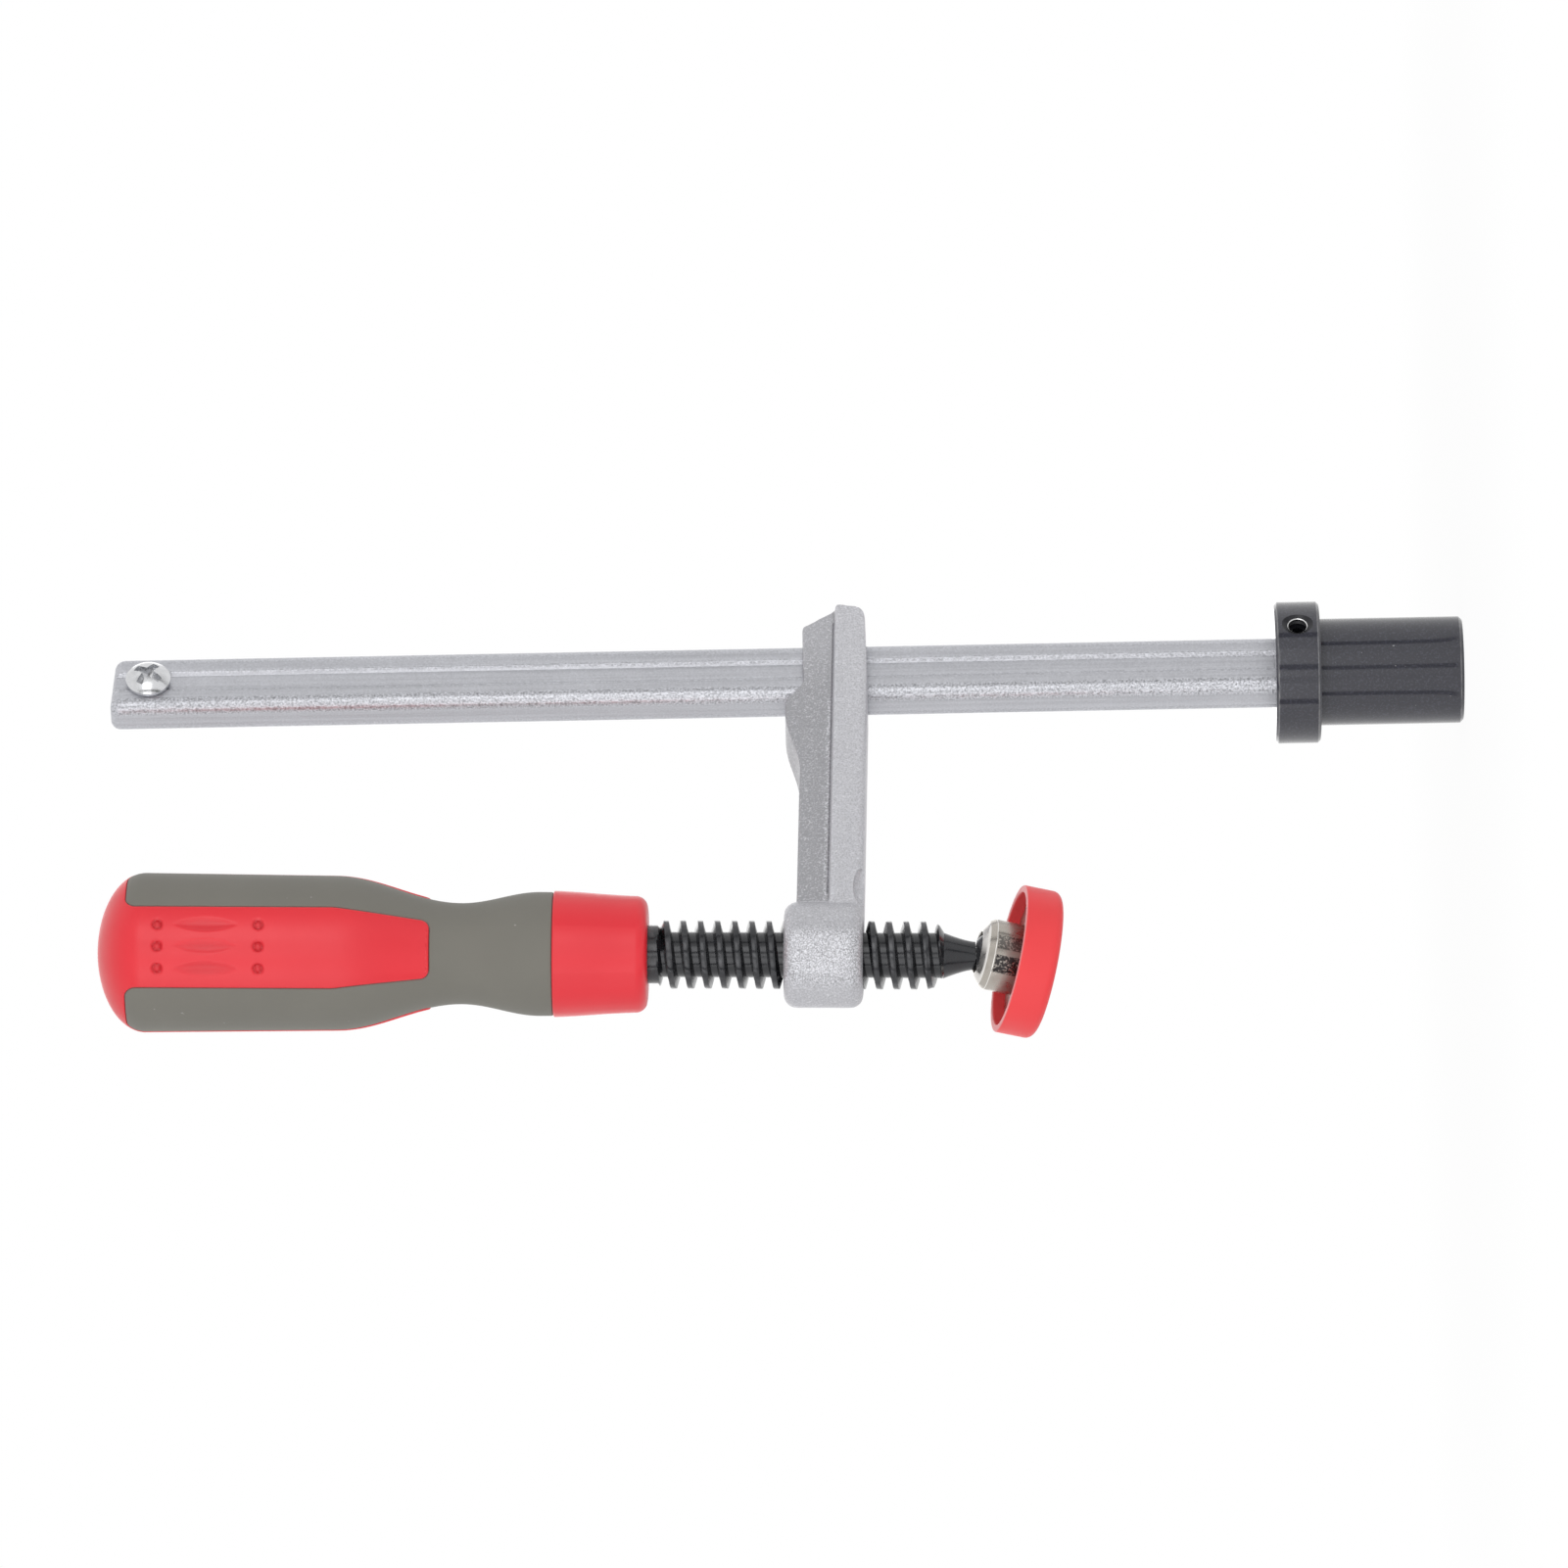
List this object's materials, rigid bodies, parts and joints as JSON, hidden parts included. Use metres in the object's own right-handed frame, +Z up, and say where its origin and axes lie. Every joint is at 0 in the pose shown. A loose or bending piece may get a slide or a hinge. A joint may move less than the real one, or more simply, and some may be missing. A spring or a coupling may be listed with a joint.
{
  "type": "hold-down clamp",
  "caption": "Bench hold-down clamp: a rail on a round bench post, a sliding arm, and a screw spindle with a two-colour handle and a tilting pressure pad.",
  "frame": {"origin": "axis of the bench post at the underside of its collar, which is the bench top", "axes": "+Z up along the rail, -X from the rail towards the spindle, -Y the face with the stop screw"},
  "size_m": [0.0934, 0.0285, 0.2419],
  "materials": {
    "zinc_rail": "zinc plated, fine sparkle",
    "zinc_screw": "bright zinc",
    "black_post": "blackened, satin",
    "black_screw": "black oxide",
    "silver_paint": "silver paint over a forging",
    "black_spindle": "blackened, oiled",
    "red_plastic": "moulded, satin gloss",
    "grey_rubber": "soft moulding, matte",
    "nickel": "nickel plated",
    "red_cap": "moulded, soft sheen"
  },
  "bodies": {
    "base": {"rail": "zinc_rail", "stop_screw": "zinc_screw", "bench_post": "black_post", "post_set_screw": "black_screw"},
    "arm": {"sliding_arm": "silver_paint"},
    "ball": {"spindle_ball": "black_spindle"},
    "spindle": {"spindle": "black_spindle", "handle_core": "red_plastic", "handle_grip": "grey_rubber"},
    "pad": {"pad_plate": "nickel", "pad_cap": "red_cap"}
  },
  "joints": [
    {"name": "arm_slide", "type": "slide", "parent": "base", "child": "arm", "axis": [0, 0, 1], "range_m": [-0.0719, 0.1118]},
    {"name": "spindle_feed", "type": "slide", "parent": "arm", "child": "ball", "axis": [-0.0314, 0, -0.9995], "range_m": [-0.0183, 0.0233]},
    {"name": "spindle_turn", "type": "hinge", "parent": "ball", "child": "spindle", "pos_m": [-0.06723, 0, 0.05908], "axis": [-0.0314, 0, -0.9995], "range_deg": [-2196.5, 2796.5]},
    {"name": "pad_swivel", "type": "hinge", "parent": "ball", "child": "pad", "pos_m": [-0.06723, 0, 0.05908], "axis": [0.9898, 0.1392, -0.0311], "range_deg": [-30.5, 1.5]}
  ],
  "couplings": [
    {"joint": "spindle_turn", "follows": "spindle_feed", "rad_per_m": 2094.4}
  ]
}
